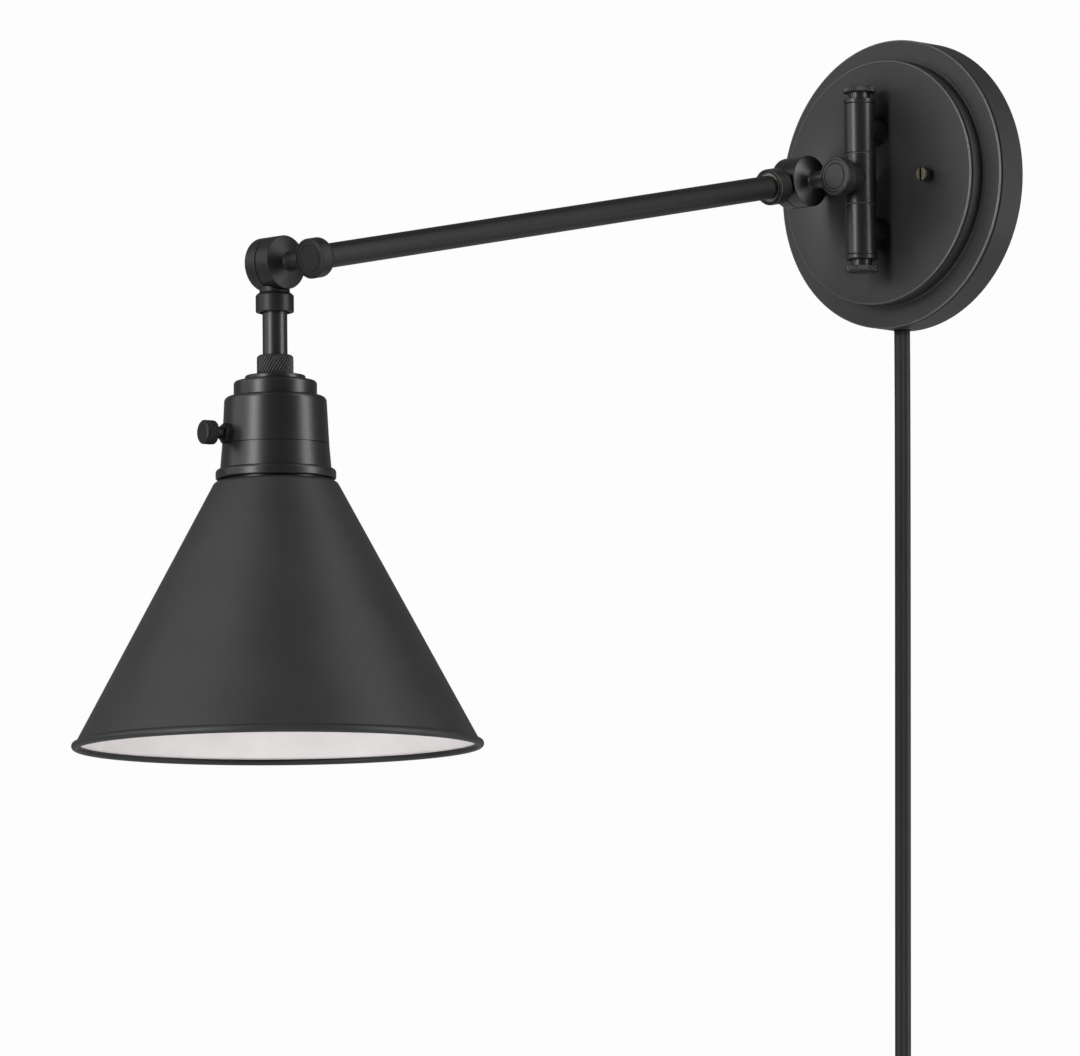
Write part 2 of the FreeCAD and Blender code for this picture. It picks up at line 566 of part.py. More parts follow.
def cord():
    path = cord_path(CORD_ROUTE)
    start = path.Vertexes[0].Point
    section = Part.Wire(Part.makeCircle(CORD_W / 2, start, DOWN))
    tube = path.makePipeShell([section], True, True)
    print(f"cord run {path.Length:.0f} mm, volume ratio "
          f"{tube.Volume / (path.Length * math.pi * (CORD_W / 2) ** 2):.4f}")
    return tube


def cord_coil():
    """The outer shape of the wound length."""
    half = COIL_WIDE / 2
    return turned([(COIL_MIN_R, -half, 2), (COIL_MAX_R, -half, 2), (COIL_MAX_R, half, 2),
                   (COIL_MIN_R, half, 2)], COIL_AT, OUT)


def cord_tie():
    """The strap round the coil and the cord that comes down to it."""
    inner, outer = COIL_MIN_R - 0.8, COIL_MAX_R + CORD_W
    wide = COIL_WIDE
    band = Part.makeBox(outer - inner + 2 * TIE_THICK, wide + 2 * TIE_THICK, TIE_WIDE,
                        V(inner - TIE_THICK, -wide / 2 - TIE_THICK, -TIE_WIDE / 2))
    band = band.makeFillet(2.5, [e for e in band.Edges if abs(e.tangentAt(e.FirstParameter).z) > 0.9])
    hole = Part.makeBox(outer - inner, wide, 2 * TIE_WIDE, V(inner, -wide / 2, -TIE_WIDE))
    hole = hole.makeFillet(1.5, [e for e in hole.Edges if abs(e.tangentAt(e.FirstParameter).z) > 0.9])
    band = band.cut(hole)
    band.Placement = FreeCAD.Placement(COIL_AT, FreeCAD.Rotation(V(0, -1, 0), TIE_AT))
    return band


def tail_top():
    return COIL_AT + V(CORD_ROUTE[-1][0], -CORD_W / 2 - 0.1, 0)


def cord_tail():
    """The last of the cord, hanging from the coil's left edge to the plug."""
    return cylinder(CORD_W / 2, tail_top(), DOWN, TAIL)


def plug_body():
    """A two-blade plug, tapered up to the cord."""
    at = tail_top() + DOWN * TAIL
    taper = Part.makeCone(CORD_W / 2 + 0.8, PLUG_D / 2 - 1.5, PLUG_TAPER + 2, at, DOWN)
    block = rounded_box(V(PLUG_W, PLUG_D, PLUG_LONG), at + DOWN * (PLUG_TAPER + PLUG_LONG / 2), 3.0)
    return taper.fuse(block)


def plug_blades():
    top = tail_top() + DOWN * (TAIL + PLUG_TAPER + PLUG_LONG)
    blades = [Part.makeBox(BLADE_THICK, BLADE_W, BLADE_LONG,
                           top + V(s * BLADE_GAP / 2 - BLADE_THICK / 2, -BLADE_W / 2, -BLADE_LONG))
              for s in (-1, 1)]
    return Part.makeCompound(blades)


# ---- the pieces, by node ----
def both(piece):
    return Part.makeCompound([piece(1), piece(-1)])


PIECES = {
    "canopy": canopy,
    "strap": strap,
    "cap_screws": lambda: both(cap_screw),
    "ground_screw": ground_screw,
    "column_tube_upper": lambda: column_tube(1),
    "column_tube_lower": lambda: column_tube(-1),
    "column_nuts": lambda: both(column_nut),
    "column_washers": lambda: both(column_washer),
    "column_rod": column_rod,
    "finial_washer_upper": lambda: finial_washer(1),
    "finial_washer_lower": lambda: finial_washer(-1),
    "finial_upper": lambda: finial(1),
    "finial_lower": lambda: finial(-1),
    "knuckle": knuckle,
    "knuckle_bushes": lambda: both(knuckle_bush),
    "swivel_a_inner": lambda: inner_swivel(BARREL_A, OUT, NECK_R),
    "swivel_a_cap": lambda: barrel_cap(BARREL_A, OUT),
    "swivel_a_outer": lambda: outer_swivel(PIVOT_A, ALONG, TUBE_R),
    "swivel_a_washer": lambda: swivel_washer(PIVOT_A),
    "swivel_a_screw": lambda: pivot_screw(PIVOT_A),
    "swivel_a_ring": lambda: collar_ring(PIVOT_A, ALONG, TUBE_R),
    "arm_tube": arm_tube,
    "swivel_b_inner": lambda: inner_swivel(BARREL_B, ALONG, TUBE_R),
    "swivel_b_cap": lambda: barrel_cap(BARREL_B, ALONG),
    "swivel_b_outer": lambda: outer_swivel(PIVOT_B, DOWN, TUBE_R),
    "swivel_b_washer": lambda: swivel_washer(PIVOT_B),
    "swivel_b_screw": lambda: pivot_screw(PIVOT_B),
    "swivel_b_ring": lambda: collar_ring(PIVOT_B, DOWN, TUBE_R),
    "stem": stem,
    "knurled_nut": knurled_nut,
    "stem_flange": stem_flange,
    "lock_nut": lock_nut,
    "housing_upper": housing_upper,
    "housing_lower": housing_lower,
    "lip_ring": lip_ring,
    "shade": shade,
    "shade_lock_ring": shade_lock_ring,
    "holder_body": holder_body,
    "holder_shell": holder_shell,
    "holder_contact": holder_contact,
    "switch_bush": switch_bush,
    "switch_knob": switch_knob,
    "cord_bushing": cord_bushing,
    "cord": cord,
    "cord_coil": cord_coil,
    "cord_tie": cord_tie,
    "cord_tail": cord_tail,
    "plug_body": plug_body,
    "plug_blades": plug_blades,
}

os.makedirs("parts", exist_ok=True)
for node, make in PIECES.items():
    shape = make()
    shape.exportStep(f"parts/{node}.step")
    print(f"{node}: {len(shape.Solids)} solid, valid {shape.isValid()}, {shape.Volume:.0f} mm3")
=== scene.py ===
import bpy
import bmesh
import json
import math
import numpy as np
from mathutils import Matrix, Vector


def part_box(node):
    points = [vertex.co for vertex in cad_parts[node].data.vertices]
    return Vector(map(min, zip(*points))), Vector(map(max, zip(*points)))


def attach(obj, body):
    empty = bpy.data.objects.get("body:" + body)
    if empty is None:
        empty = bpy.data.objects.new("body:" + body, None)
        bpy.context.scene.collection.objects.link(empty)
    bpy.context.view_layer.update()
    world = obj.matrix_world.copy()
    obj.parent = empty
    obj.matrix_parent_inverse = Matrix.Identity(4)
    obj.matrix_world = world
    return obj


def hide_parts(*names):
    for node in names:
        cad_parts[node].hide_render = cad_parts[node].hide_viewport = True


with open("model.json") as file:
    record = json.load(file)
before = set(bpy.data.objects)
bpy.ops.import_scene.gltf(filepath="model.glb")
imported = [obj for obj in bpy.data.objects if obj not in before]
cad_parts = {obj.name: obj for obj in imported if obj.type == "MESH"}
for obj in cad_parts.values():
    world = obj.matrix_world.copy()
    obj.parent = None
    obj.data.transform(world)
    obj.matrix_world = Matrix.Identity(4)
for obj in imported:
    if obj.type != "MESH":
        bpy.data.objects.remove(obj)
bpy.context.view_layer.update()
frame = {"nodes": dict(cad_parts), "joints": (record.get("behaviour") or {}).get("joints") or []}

# %% [markdown]
# # A swing arm wall lamp
# The lamp is a round canopy on a wall, a column with a knuckle that swings, a straight arm, and
# a cone shade under a turned housing. Every size comes from the loaded frame, in metres: the
# wall is the plane y = 0, the lamp stands out towards -y, and +z is up.
# This first cell only measures. `middle` and `extent` read a part's box, so that each new
# piece later goes exactly where the solid one is.

MM = 0.001


def middle(node):
    low, high = np.array(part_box(node))
    return (low + high) / 2


def extent(node):
    low, high = np.array(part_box(node))
    return high - low


def top(node):
    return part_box(node)[1][2]


def bottom(node):
    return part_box(node)[0][2]


# %% [markdown]
# ## The camera
# The camera looks at the lamp from the right, from far away and a little from below, so its lens
# is long. A camera that looks straight at a target keeps its sides upright, and the small roll
# then leans the whole view by half a degree.

# %% Place the camera
CAMERA_AT = Vector((2.6042, -2.9795, -0.5839))
LOOK_AT = Vector((-0.0728, -0.1746, -0.1640))
ROLL = math.radians(-0.576)
LENS, SENSOR = 289.3, 36
FAR_CLIP = 50

lens = bpy.data.cameras.new("camera")
lens.lens, lens.sensor_width, lens.clip_end = LENS, SENSOR, FAR_CLIP
camera = bpy.data.objects.new("camera", lens)
bpy.context.scene.collection.objects.link(camera)
turn = (CAMERA_AT - LOOK_AT).to_track_quat("Z", "Y").to_matrix().to_4x4()
camera.matrix_world = Matrix.Translation(CAMERA_AT) @ turn @ Matrix.Rotation(ROLL, 4, "Z")
bpy.context.scene.camera = camera
print("camera at", np.round(CAMERA_AT, 3), "lens", LENS, "mm")

# %% [markdown]
# ## From a grid of points to a piece
# Every turned, knurled or swept piece here is a grid of points: one way goes round, the other
# goes along. `piece` turns such a grid into a closed mesh. Rows that shrink to a point are
# merged there, so caps have no hole. It also keeps a UV map, which a finish can follow.
# `ride_and_finish` parents a new piece to the body it moves with and hides the solid parts it
# stands for.

# %% Make a mesh from a grid
SAME_POINT = 1e-7


def ride_and_finish(obj, body, stands_for):
    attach(obj, body)
    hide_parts(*stands_for)


def piece(name, grid, ring_closed=True):
    """A closed surface over grid[along, round]. The way round always closes on itself. The way
    along closes too if ring_closed, or else its first and last rows are single points."""
    rows, around = grid.shape[:2]
    i = np.arange(rows if ring_closed else rows - 1)[:, None]
    j = np.arange(around)[None, :]
    i2, j2 = (i + 1) % rows, (j + 1) % around
    corners = [i * around + j, i * around + j2, i2 * around + j2, i2 * around + j]
    faces = np.stack(np.broadcast_arrays(*corners), -1).reshape(-1, 4)
    mesh = bpy.data.meshes.new(name)
    mesh.from_pydata(grid.reshape(-1, 3).tolist(), [], faces.tolist())
    v, u = np.broadcast_arrays(i / rows, j / around)
    step_u = np.array([0, 1, 1, 0]) / around
    step_v = np.array([0, 0, 1, 1]) / rows
    uv = np.stack([u.reshape(-1, 1) + step_u, v.reshape(-1, 1) + step_v], -1)
    mesh.uv_layers.new(name="grid").data.foreach_set("uv", uv.astype(np.float32).ravel())
    mesh.polygons.foreach_set("use_smooth", np.ones(len(faces), bool))
    shape = bmesh.new()
    shape.from_mesh(mesh)
    bmesh.ops.remove_doubles(shape, verts=shape.verts, dist=SAME_POINT)
    bmesh.ops.dissolve_degenerate(shape, edges=shape.edges, dist=SAME_POINT)
    bmesh.ops.recalc_face_normals(shape, faces=shape.faces)
    shape.to_mesh(mesh)
    shape.free()
    obj = bpy.data.objects.new(name, mesh)
    bpy.context.scene.collection.objects.link(obj)
    print(f"{name}: {len(mesh.polygons)} faces")
    return obj


# %% [markdown]
# ## Turned pieces
# A lathe makes most of this lamp, so most pieces are a profile spun about an axis. A sharp
# corner never looks real, so `profile` rounds each corner by its own radius. It also puts a
# point close beside each arc, which keeps the shading of the flat next to it flat.

# %% Round a profile and spin it
MOST_OF_A_SIDE = 0.45
BESIDE_THE_ARC = 0.15


def profile(points, steps=7, closed=True):
    """Points (radius, height, corner radius) joined by straight lines, with each corner
    replaced by an arc that touches both of its lines."""
    p = np.array([q[:2] for q in points], float)
    sizes = [q[2] if len(q) > 2 else 0 for q in points]
    out = []
    for k, size in enumerate(sizes):
        if not size or (not closed and k in (0, len(p) - 1)):
            out.append(p[k][None])
            continue
        back, on = p[k - 1] - p[k], p[(k + 1) % len(p)] - p[k]
        room = MOST_OF_A_SIDE * min(np.hypot(*back), np.hypot(*on))
        back, on = back / np.hypot(*back), on / np.hypot(*on)
        half = np.arccos(np.clip(back @ on, -1, 1)) / 2
        reach = min(size / np.tan(half), room)
        size = reach * np.tan(half)
        centre = p[k] + (back + on) / np.hypot(*(back + on)) * size / np.sin(half)
        first, last = p[k] + back * reach, p[k] + on * reach
        a, b = first - centre, last - centre
        t = np.linspace(0, 1, steps)[:, None]
        sweep = np.pi - 2 * half
        arc = (np.sin((1 - t) * sweep) * a + np.sin(t * sweep) * b) / np.sin(sweep)
        guard = BESIDE_THE_ARC * size
        out += [(first + back * guard)[None], centre + arc, (last + on * guard)[None]]
    return np.concatenate(out)


def spun(name, line, at, axis, around, relief=None, ring_closed=True):
    """The profile `line` of (radius, height) spun about the axis through `at`. A point is
    at + height * axis + radius * (cos angle, sin angle) across the axis, and `relief`
    adds to the radius by angle and by row."""
    axis = Vector(axis).normalized()
    across = axis.orthogonal().normalized()
    u, v, w = np.array(across), np.array(axis.cross(across)), np.array(axis)
    angle = np.linspace(0, 2 * np.pi, around, endpoint=False)[None, :]
    radius = line[:, :1] + np.zeros_like(angle)
    if relief is not None:
        radius = radius + relief(angle, line[:, :1], line[:, 1:])
    ring = radius[..., None] * (np.cos(angle)[..., None] * u + np.sin(angle)[..., None] * v)
    return piece(name, np.array(at) + ring + line[:, 1][:, None, None] * w, ring_closed)


# %% [markdown]
# ## Finishes
# A finish is a few shader nodes. `Wire` holds one socket and lets sums be written as sums.
# `Finish` holds one material, and its `node` method adds every other kind of node.

# %% Write shader sums as expressions
class Wire:
    """A node's output, or a number, that takes part in arithmetic."""

    def __init__(self, finish, socket):
        self.finish, self.socket = finish, socket

    def sum(self, operation, *values):
        return self.finish.node("ShaderNodeMath", {"operation": operation}, dict(enumerate(values)))

    def __add__(self, other):
        return self.sum("ADD", self, other)

    def __sub__(self, other):
        return self.sum("SUBTRACT", self, other)

    def __rsub__(self, other):
        return self.sum("SUBTRACT", other, self)

    def __mul__(self, other):
        return self.sum("MULTIPLY", self, other)

    def over(self, low, high):
        """0 below low, 1 above high, and straight between."""
        return self.finish.node("ShaderNodeMapRange", {}, {0: self, 1: low, 2: high})

    __radd__, __rmul__ = __add__, __mul__


class Finish:
    """One material: a Principled shader and what feeds it."""

    def __init__(self, name):
        self.material = bpy.data.materials.new(name)
        self.material.use_nodes = True
        self.tree = self.material.node_tree
        self.shader = self.tree.nodes["Principled BSDF"]

    def node(self, kind, settings, inputs, output=0):
        made = self.tree.nodes.new(kind)
        for key, value in settings.items():
            setattr(made, key, value)
        for key, value in inputs.items():
            self.put(made.inputs[key], value)
        return Wire(self, made.outputs[output])

    def put(self, socket, value):
        if isinstance(value, Wire):
            self.tree.links.new(value.socket, socket)
        else:
            socket.default_value = value

    def set(self, **inputs):
        for key, value in inputs.items():
            self.put(self.shader.inputs[key.replace("_", " ")], value)
        return self

    def place(self):
        return self.node("ShaderNodeTexCoord", {}, {}, "Object")

    def noise(self, size, detail=2.0, rough=0.5, at=None):
        """Blobs about `size` metres across, from 0 to 1."""
        inputs = {"Vector": at or self.place(), "Scale": 1 / size,
                  "Detail": detail, "Roughness": rough}
        return self.node("ShaderNodeTexNoise", {}, inputs)

    def blend(self, amount, low, high):
        settings = {"data_type": "RGBA", "blend_type": "MIX"}
        return self.node("ShaderNodeMix", settings, {0: amount, 6: low, 7: high}, 2)

    def bump(self, height, depth):
        return self.node("ShaderNodeBump", {}, {"Height": height, "Distance": depth})


def grey(value):
    """The same amount of red, green and blue, fully opaque."""
    return (value, value, value, 1)


# %% [markdown]
# ## The black coats
# The lamp is powder coated. On the real thing the coat has a very fine orange peel, and its
# black is never quite even. Small noise makes the peel, wide noise makes the tone drift, and a
# few specks catch the light. The coat is the same everywhere, but it looks different on each
# kind of piece: dull on the sheet of the canopy and the shade, smoother on the turned joints,
# and darker on the arm and the joint at its far end. The fourth is a painted highlight: a
# brighter, glossier black on the canopy's edges that stands for the light they catch.

# %% Four black coats
def black_coat(name, tone, gloss, peel, specular):
    """Black paint: tone and gloss drift over centimetres, and the peel is under a millimetre."""
    finish = Finish(name)
    wide = finish.noise(0.03, 3.0)
    fine = finish.noise(0.0007)
    speck = finish.noise(0.0022, 1.0).over(0.66, 0.74)
    return finish.set(
        Base_Color=finish.blend(wide.over(0.3, 0.7), grey(tone * 0.85), grey(tone * 1.2)),
        Roughness=gloss + 0.05 * wide + 0.04 * fine - 0.03 * speck,
        Normal=finish.bump(fine + 0.3 * speck, peel),
        Specular_IOR_Level=specular,
    ).material


POWDER = black_coat("powder coat", 0.010, 0.46, 0.00005, 0.22)
JOINT = black_coat("joint coat", 0.005, 0.30, 0.00002, 0.26)
MATT = black_coat("matt joint coat", 0.005, 0.38, 0.00003, 0.16)
# A painted highlight: a brighter, glossier black for the light that the canopy's edges catch.
EDGE_HIGHLIGHT = black_coat("painted edge highlight", 0.016, 0.30, 0.00001, 0.65)
print("four black coats")

# %% [markdown]
# ## Metals
# The bright pieces are few and small: two dull bronze screws, a bare ring at the end of each
# collar, the lampholder's brass, and zinc on what is hidden. Turned metal has fine rings, so its
# noise is stretched along one direction, while plated metal has round blobs.

# %% Bare and plated metals
def metal(name, colour, gloss, size=0.0006, stretch=(1, 1, 1), dull=0.6):
    """Bare metal, darker and rougher where the noise says it is tarnished."""
    finish = Finish(name)
    spread = finish.node("ShaderNodeMapping", {}, {"Vector": finish.place(), "Scale": stretch})
    grain = finish.noise(size, 3.0, 0.6, spread)
    stain = finish.noise(0.004, 3.0).over(0.35, 0.75)
    dark = (*(c * dull for c in colour[:3]), 1)
    return finish.set(
        Base_Color=finish.blend(stain, colour, dark),
        Metallic=1.0,
        Roughness=gloss + 0.12 * stain + 0.08 * grain,
        Normal=finish.bump(grain, 0.00003),
    ).material


BRONZE = metal("dull bronze", (0.055, 0.050, 0.036, 1), 0.42, 0.0004, (1, 1, 6))
BARE = metal("bare steel", (0.20, 0.18, 0.145, 1), 0.34, 0.0005, (1, 5, 1), 0.8)
ZINC = metal("zinc plate", (0.62, 0.63, 0.65, 1), 0.35)
BRASS = metal("lamp brass", (0.83, 0.63, 0.31, 1), 0.24, 0.0005, (1, 1, 5), 0.8)
NICKEL = metal("blade nickel", (0.70, 0.66, 0.55, 1), 0.28, 0.0004, (6, 1, 1), 0.85)
print("five metals")

# %% [markdown]
# ## Enamel, porcelain and plastics
# These have one colour that drifts a little and a fine skin. A clear coat makes the glaze on
# the enamel and on the porcelain. The inside of the shade is white, so it throws light down.

# %% Smooth finishes
def plain(name, colour, gloss, peel=0.00003, size=0.0009, coat=0.0, specular=0.5):
    """Plastic, enamel or porcelain: one colour that drifts a little, with a fine skin."""
    finish = Finish(name)
    wide = finish.noise(0.02)
    dark = (*(c * 0.9 for c in colour[:3]), 1)
    return finish.set(
        Base_Color=finish.blend(wide.over(0.3, 0.7), colour, dark),
        Roughness=gloss + 0.05 * wide,
        Normal=finish.bump(finish.noise(size), peel),
        Coat_Weight=coat,
        Specular_IOR_Level=specular,
    ).material


WHITE = plain("white enamel", (0.59, 0.56, 0.56, 1), 0.45, 0.00002, coat=0.1)
PORCELAIN = plain("porcelain", (0.84, 0.82, 0.77, 1), 0.18, 0.00002, coat=0.4)
NYLON = plain("black nylon", grey(0.02), 0.5)
JACKET = plain("cord jacket", grey(0.009), 0.52, 0.00004, 0.0005, specular=0.16)
PLUG = plain("moulded plug", grey(0.014), 0.42, 0.00006, 0.0012)
print(len(bpy.data.materials), "finishes")

# %% [markdown]
# ## Finish the parts that keep their shape
# Tubes, discs, collars and nuts are already right in the frame, with their small rounded
# edges. Each one only takes its finish, so a table of names is enough.

# %% Give the kept parts a finish
KEPT = [
    (POWDER, "shade_lock_ring"),
    (JOINT, "column_tube_upper column_tube_lower knuckle finial_washer_upper finial_washer_lower"),
    (JOINT, "swivel_a_inner swivel_a_outer swivel_a_cap swivel_a_screw stem stem_flange"),
    (JOINT, "housing_upper housing_lower lip_ring switch_bush"),
    (MATT, "arm_tube swivel_b_inner swivel_b_outer swivel_b_cap swivel_b_screw"),
    (BARE, "swivel_a_ring swivel_b_ring"),
    (BRONZE, "cap_screws"),
    (ZINC, "strap column_rod column_nuts ground_screw lock_nut"),
    (NYLON, "column_washers swivel_a_washer swivel_b_washer knuckle_bushes cord_bushing cord_tie"),
    (BRASS, "holder_contact"),
    (NICKEL, "plug_blades"),
    (PORCELAIN, "holder_body"),
]


def paint(obj, *materials):
    obj.data.materials.clear()
    for material in materials:
        obj.data.materials.append(material)
    return obj


for material, names in KEPT:
    for node in names.split():
        paint(frame["nodes"][node], material)
print(sum(len(names.split()) for _, names in KEPT), "parts keep their shape")

# %% [markdown]
# ## The canopy
# The canopy is a spun dish with two steps, and a fine groove runs round just behind each of
# its two front edges. One closed profile makes the outside, the open back and the inside
# together.

# %% Spin the canopy
STEP_BACK, STEP_IN = 8.7 * MM, 10.3 * MM
SHEET = 1.2 * MM
GROOVE_DEEP = 0.7 * MM
canopy_r, canopy_deep = extent("canopy")[0] / 2, extent("canopy")[1]
face_r, base_deep = canopy_r - STEP_IN, canopy_deep - STEP_BACK
inner_r, inner_face_r = canopy_r - SHEET, face_r - SHEET


def edge_and_groove(r, front):
    """A front edge with a small radius, and the narrow groove just behind it."""
    low = r - GROOVE_DEEP
    return [(r, front, 0.7 * MM), (r, front - 1.0 * MM, 0.15 * MM),
            (low, front - 1.2 * MM, 0.2 * MM), (low, front - 1.9 * MM, 0.2 * MM),
            (r, front - 2.3 * MM, 0.3 * MM)]


dish = profile([
    (1e-4, canopy_deep), *edge_and_groove(face_r, canopy_deep), (face_r, base_deep, 0.8 * MM),
    *edge_and_groove(canopy_r, base_deep), (canopy_r, 0, 0.3 * MM), (inner_r, 0, 0.3 * MM),
    (inner_r, base_deep - SHEET, 0.6 * MM), (inner_face_r, base_deep - SHEET, 0.5 * MM),
    (inner_face_r, canopy_deep - SHEET, 0.6 * MM), (1e-4, canopy_deep - SHEET)])
# The canopy takes the powder coat, and a painted highlight on its front edges.
canopy = paint(spun("canopy_shell", dish, (0, 0, 0), (0, -1, 0), 256), POWDER, EDGE_HIGHLIGHT)
ride_and_finish(canopy, "canopy_and_column", ["canopy"])

# %% [markdown]
# The canopy's front edges carry a painted highlight: the faces near both front edges take a
# brighter, glossier black that stands for the light an edge catches. A face is near an edge if its
# radius and depth are.

# %% Painted highlight on the canopy's edges
EDGE_WIDE = 0.75 * MM


def per_face(obj, value):
    """A vector of every face, such as its center or its normal, as rows of x, y, z."""
    rows = np.empty(len(obj.data.polygons) * 3)
    obj.data.polygons.foreach_get(value, rows)
    return rows.reshape(-1, 3)


def second_finish(obj, chosen):
    obj.data.polygons.foreach_set("material_index", chosen.astype(np.int32))
    print(obj.name, chosen.sum(), "faces take the second finish")


x, y, z = per_face(canopy, "center").T
radius_and_depth = np.stack([np.hypot(x, z), -y], 1)
front_edges = [(face_r, canopy_deep), (canopy_r, base_deep)]
near = [np.hypot(*(radius_and_depth - edge).T) < EDGE_WIDE for edge in front_edges]
# Faces near a front edge take the painted highlight.
second_finish(canopy, np.any(near, 0))

# %% [markdown]
# ## The shade
# The cone is spun from sheet. Its top is flat under the housing's lip, its shoulder is round,
# and its rim is rolled over a wire. The rim is most of a circle round the bead's middle, and the
# slit left in it is as wide as the wall is thick. A smooth shape blends its shading from row to
# row, and the wall is one long row, so an extra row close above the rim keeps it straight.

# %% Spin the shade
shade_r, shade_tall = extent("shade")[0] / 2, extent("shade")[2]
shade_axis = middle("shade") * (1, 1, 0) + (0, 0, top("shade"))
shoulder_r = extent("lip_ring")[0] / 2 + 0.3 * MM
hole_r = shoulder_r - 7.0 * MM
WALL, ROLL = 1.0 * MM, 1.7 * MM
NEAR_RIM = 0.994

bead = np.array([shade_r - ROLL, shade_tall - ROLL])
down_wall = bead - (shoulder_r, 0)
down_wall /= np.hypot(*down_wall)
out_wall = np.array([down_wall[1], -down_wall[0]])
slit = np.arcsin(WALL / 2 / ROLL)
around_roll = np.linspace(slit, 2 * np.pi - slit, 40)[:, None]
rim = bead + ROLL * (-np.cos(around_roll) * down_wall + np.sin(around_roll) * out_wall)
inset = WALL * (1 - out_wall[1]) / out_wall[0]
outer_corner, inner_corner = np.array([(shoulder_r, 0), (shoulder_r - inset, WALL)])
last_out = outer_corner + NEAR_RIM * (rim[0] - outer_corner)
last_in = inner_corner + NEAR_RIM * (rim[-1] - inner_corner)
outside = profile([(hole_r, 0), (*outer_corner, 3 * MM), last_out, rim[0]], 12, closed=False)
inside = profile([rim[-1], last_in, (*inner_corner, 2 * MM), (hole_r, WALL)], 12, closed=False)
cone = np.concatenate([outside, rim[1:], inside[1:]])
shade = spun("shade_shell", cone * (1, -1), shade_axis, (0, 0, 1), 288)
paint(shade, POWDER, WHITE)
ride_and_finish(shade, "head", ["shade"])
print("shade", round(2 * shade_r, 4), "m across,", round(shade_tall, 4), "m tall")

# %% [markdown]
# Black paint covers the outside and the rolled rim, and the inside is white. A face is inside
# where it looks back at the shade's axis, which is where the way out from the axis and the
# face's own direction point apart.

# %% White inside
RIM_TALL = 2.6 * MM
from_axis, facing = per_face(shade, "center") - shade_axis, per_face(shade, "normal")
inward = (from_axis[:, :2] * facing[:, :2]).sum(1) < 0
above_rim = -from_axis[:, 2] < shade_tall - RIM_TALL
second_finish(shade, inward & above_rim)

# %% [markdown]
# ## Knurls
# A knurl is a pattern of ridges that a wheel presses into turned metal so that it can be
# gripped. Each one is a wave added to the radius. Straight ridges depend on the angle alone.
# Slanted ones depend on angle and height together, and two slants crossed make diamonds.

# %% Three kinds of knurl
def ridge(wave):
    """A smooth wave made sharper at its bottom, from -1 up to 0."""
    return np.abs(np.sin(wave)) ** 0.7 - 1


def slanted_knurl(count, depth, edge, slant=0.0):
    """`count` ridges beyond the radius `edge`. A slant of 0 makes them straight, and otherwise
    they turn by slant * height / radius."""
    def relief(angle, radius, height):
        twist = slant * height / np.maximum(radius, edge)
        return depth * ridge((angle + twist) * count / 2) * (radius > edge)
    return relief


def diamond_knurl(count, depth, edge, slant):
    """Two slanted knurls, one each way, with the deeper of the two at each point."""
    def relief(angle, radius, height):
        twist = slant * height / np.maximum(radius, edge)
        crossed = np.minimum(ridge((angle + twist) * count / 2), ridge((angle - twist) * count / 2))
        return depth * crossed * (radius > edge)
    return relief


def fine_rows(line, step):
    """The same profile with more rows, none further apart than `step`."""
    gaps = np.hypot(*np.diff(line, axis=0).T)
    parts = [np.linspace(a, b, max(1, math.ceil(g / step)), endpoint=False)
             for a, b, g in zip(line[:-1], line[1:], gaps)]
    return np.concatenate(parts + [line[-1:]])


test_wave = slanted_knurl(4, 1.0, 0.5)(np.linspace(0, np.pi / 2, 5), 1.0, 0.0)
print("across one ridge:", np.round(test_wave, 2).tolist())

# %% [markdown]
# ## The finials
# A finial closes each end of the column: a plain neck, then a cap with a straight knurl and a
# shallow dish in its end. The lower one is the same piece upside down, so its axis points down.

# %% Knurled finials
NECK_R, CAP_TALL = 4.9 * MM, 2.4 * MM
DISH_RIM, DISH_DEEP = 2.2 * MM, 0.3 * MM


def finial(node, up, foot_z):
    r, tall = extent(node)[0] / 2, extent(node)[2]
    cap, dish_floor = tall - CAP_TALL, tall - DISH_DEEP
    line = profile([
        (0, 0), (NECK_R, 0), (NECK_R, cap, 0.3 * MM), (r, cap, 0.3 * MM), (r, tall, 0.45 * MM),
        (r - DISH_RIM, tall, 0.2 * MM), (r - DISH_RIM - 0.4 * MM, dish_floor, 0.2 * MM),
        (0, dish_floor)], closed=False)
    foot = middle(node) * (1, 1, 0) + (0, 0, foot_z)
    made = spun(f"{node}_knurled", fine_rows(line, 0.25 * MM), foot, (0, 0, up), 336,
                slanted_knurl(42, 0.35 * MM, r - 0.25 * MM), ring_closed=False)
    ride_and_finish(paint(made, JOINT), "canopy_and_column", [node])


finial("finial_upper", 1, bottom("finial_upper"))
finial("finial_lower", -1, top("finial_lower"))

# %% [markdown]
# ## The stem's nut
# The nut above the housing has a coarse slanted knurl and a chamfer at each end. It is a ring
# round the stem, so its profile is closed and never reaches the axis.

# %% Knurled nut
nut_r, nut_tall = extent("knurled_nut")[0] / 2, extent("knurled_nut")[2]
stem_r = extent("stem")[0] / 2
nut_foot = middle("knurled_nut") * (1, 1, 0) + (0, 0, bottom("knurled_nut"))
nut_line = profile([(stem_r, 0), (nut_r - 0.5 * MM, 0, 0.2 * MM), (nut_r, 0.7 * MM, 0.3 * MM),
                    (nut_r, nut_tall - 0.9 * MM, 0.3 * MM), (nut_r - 0.8 * MM, nut_tall, 0.3 * MM),
                    (stem_r, nut_tall)])
nut = spun("stem_nut_knurled", fine_rows(nut_line, 0.2 * MM), nut_foot, (0, 0, 1), 384,
           slanted_knurl(36, 0.6 * MM, nut_r - 0.12 * MM, -0.6))
ride_and_finish(paint(nut, JOINT), "head", ["knurled_nut"])

# %% [markdown]
# ## The turn switch
# The knob is a small cylinder on a thin shaft that stands out of the housing. Its axis is not
# along x or y, so its place and direction come from the joint that turns it. Heights are
# measured from the housing's own axis, and the shaft starts inside the housing.

